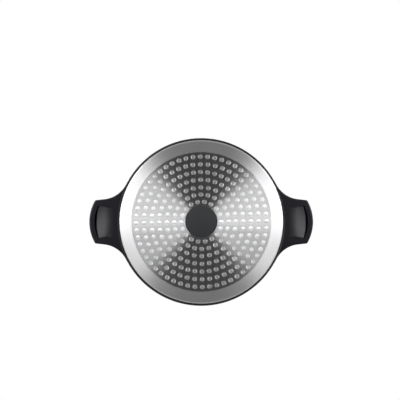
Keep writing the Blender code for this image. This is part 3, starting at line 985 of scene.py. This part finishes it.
def washer_mesh():
    """A split spring washer, pressed flat."""
    back, front, edge = WASHER_BACK_X, WASHER_FRONT_X, WASHER_EDGE
    section = [(back, WASHER_BORE), (back, WASHER_RADIUS - edge), (back + edge, WASHER_RADIUS)]
    section += [(front - edge, WASHER_RADIUS), (front, WASHER_RADIUS - edge), (front, WASHER_BORE)]
    bm = bmesh.new()
    rings = []
    for step in range(FIXING_SEGMENTS):
        angle = WASHER_SLIT / 2 + (2 * math.pi - WASHER_SLIT) * step / (FIXING_SEGMENTS - 1)
        ring = [(x, r * math.cos(angle), SCREW_HEIGHT + r * math.sin(angle)) for x, r in section]
        rings.append([bm.verts.new(place) for place in ring])
    close_rings(bm, rings)
    return bm


def build_handles():
    """Both handles with their fixings. The bosses are the frame's own solids, with a material."""
    plastic, zinc, spring, bare = phenolic(), zinc_plate(), spring_steel(), boss_aluminium()
    for side, turn in (("right", 0.0), ("left", math.pi)):
        kinds = (
            ("moulding", carved(handle_mesh(), bore_tool()), plastic, "black_phenolic", "handle"),
            ("cross_screw", screw_mesh(), zinc, "zinc_plated_steel", "handle_screw"),
            ("split_washer", washer_mesh(), spring, "spring_steel", "handle_washer"),
        )
        for kind, bm, material, slot, node_name in kinds:
            bmesh.ops.rotate(bm, verts=bm.verts, cent=(0, 0, 0), matrix=Matrix.Rotation(turn, 3, "Z"))
            piece = finish_mesh(f"{side}_{kind}", bm, material, sharp_degrees=40)
            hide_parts(f"{side}_{node_name}")
        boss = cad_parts[f"{side}_handle_stud"]
        boss.data.materials.clear()
        boss.data.materials.append(bare)


# Stage

def floor_material():
    """Pale and matt. It fades out far from the pot, and its underside is clear for a camera below."""
    material, tree, shader = new_material("pale_floor")
    tree.nodes.remove(shader)
    diffuse = add_node(tree, "ShaderNodeBsdfDiffuse")
    diffuse.inputs[0].default_value = FLOOR_COLOUR
    clear = add_node(tree, "ShaderNodeBsdfTransparent")
    mix = add_node(tree, "ShaderNodeMixShader")
    geometry = add_node(tree, "ShaderNodeNewGeometry")
    fade = ramp(tree, distance_from_axis(tree), result=(0.0, 1.0), source=FLOOR_FADE)
    hide = combine(tree, "MAXIMUM", geometry.outputs["Backfacing"], fade)
    for socket, output in enumerate((hide, diffuse.outputs[0], clear.outputs[0])):
        tree.links.new(output, mix.inputs[socket])
    tree.links.new(mix.outputs[0], tree.nodes["Material Output"].inputs[0])
    return material


def build_floor():
    """A round floor under the pot, which the pot's surfaces don't mirror."""
    bm = bmesh.new()
    bmesh.ops.create_circle(bm, cap_ends=True, segments=FLOOR_SEGMENTS, radius=FLOOR_RADIUS)
    mesh = bpy.data.meshes.new("floor")
    bm.to_mesh(mesh)
    bm.free()
    mesh.materials.append(floor_material())
    floor = bpy.data.objects.new("floor", mesh)
    floor.location.z = -FLOOR_DROP
    bpy.context.scene.collection.objects.link(floor)
    floor.visible_diffuse = False
    floor.visible_glossy = False
    floor.visible_transmission = False
    floor.visible_shadow = False


def add_lamp(name, place, target, width, height, power):
    """A soft rectangular lamp that faces a point."""
    lamp = bpy.data.lights.new(name, "AREA")
    lamp.shape = "RECTANGLE"
    lamp.size = width
    lamp.size_y = height
    lamp.energy = power
    thing = bpy.data.objects.new(name, lamp)
    thing.location = place
    thing.rotation_mode = "QUATERNION"
    thing.rotation_quaternion = (Vector(target) - Vector(place)).to_track_quat("-Z", "Y")
    bpy.context.scene.collection.objects.link(thing)


def build_lamps():
    """Two lamps below make the bright sectors of the base, and two above light the rest."""
    foot = (0, 0, 0)
    middle = (0, 0, 0.05)
    add_lamp("base_light_right", (1.2, -0.435, -1.25), foot, width=1.09, height=0.85, power=25.1)
    add_lamp("base_light_left", (-1.2, -0.455, -1.25), foot, width=1.13, height=0.85, power=26)
    add_lamp("key_light", (-0.9, -1.1, 1.5), middle, width=1.2, height=1.2, power=12)
    add_lamp("fill_light", (1.2, 0.9, 1.4), middle, width=1.4, height=1.4, power=12)


def build_world():
    """White to the camera. To all else it is a dim studio, darkest straight below, and brighter above
    and towards +Y."""
    world = bpy.data.worlds.new("studio")
    bpy.context.scene.world = world
    world.use_nodes = True
    tree = world.node_tree
    across, height = coordinates(tree, "Generated")[1:3]
    low = ramp(tree, height, result=(0.05, 0.15), source=(-1.0, -0.3))
    front = ramp(tree, across, result=(0.0, 0.10), source=(0.0, 0.6))
    high = ramp(tree, height, result=(0.0, 0.45), source=(-0.1, 0.5))
    level = combine(tree, "ADD", combine(tree, "ADD", low, front), high)
    path = add_node(tree, "ShaderNodeLightPath")
    mix = add_node(tree, "ShaderNodeMix", data_type="FLOAT")
    tree.links.new(path.outputs["Is Camera Ray"], mix.inputs["Factor"])
    tree.links.new(level, mix.inputs[2])
    mix.inputs[3].default_value = 1.0
    background = tree.nodes["Background"]
    background.inputs["Color"].default_value = (1.0, 1.0, 1.0, 1.0)
    tree.links.new(mix.outputs[0], background.inputs["Strength"])


def build_camera():
    """The camera of the photograph, with the pot's centre at its place in the picture."""
    data = bpy.data.cameras.new("camera")
    data.sensor_width = SENSOR_WIDTH
    data.lens = data.sensor_width * PIXELS_PER_METRE * CAMERA_DISTANCE / PICTURE_WIDTH
    camera = bpy.data.objects.new("camera", data)
    bpy.context.scene.collection.objects.link(camera)
    place = Vector((*CAMERA_ASIDE, -CAMERA_DISTANCE))
    middle = PICTURE_WIDTH / 2
    target = Vector([(middle - pixel) / PIXELS_PER_METRE for pixel in POT_CENTRE_PX] + [0.0])
    back = (place - target).normalized()
    up = Vector((0.0, -1.0, 0.0))
    right = up.cross(back).normalized()
    up = back.cross(right)
    camera.matrix_world = Matrix.Translation(place) @ Matrix((right, up, back)).transposed().to_4x4()
    bpy.context.scene.camera = camera


build_vessel()
build_base()
build_plate()
build_centre_disc()
build_handles()
build_floor()
build_lamps()
build_world()
build_camera()
bpy.context.scene.view_settings.view_transform = "Standard"
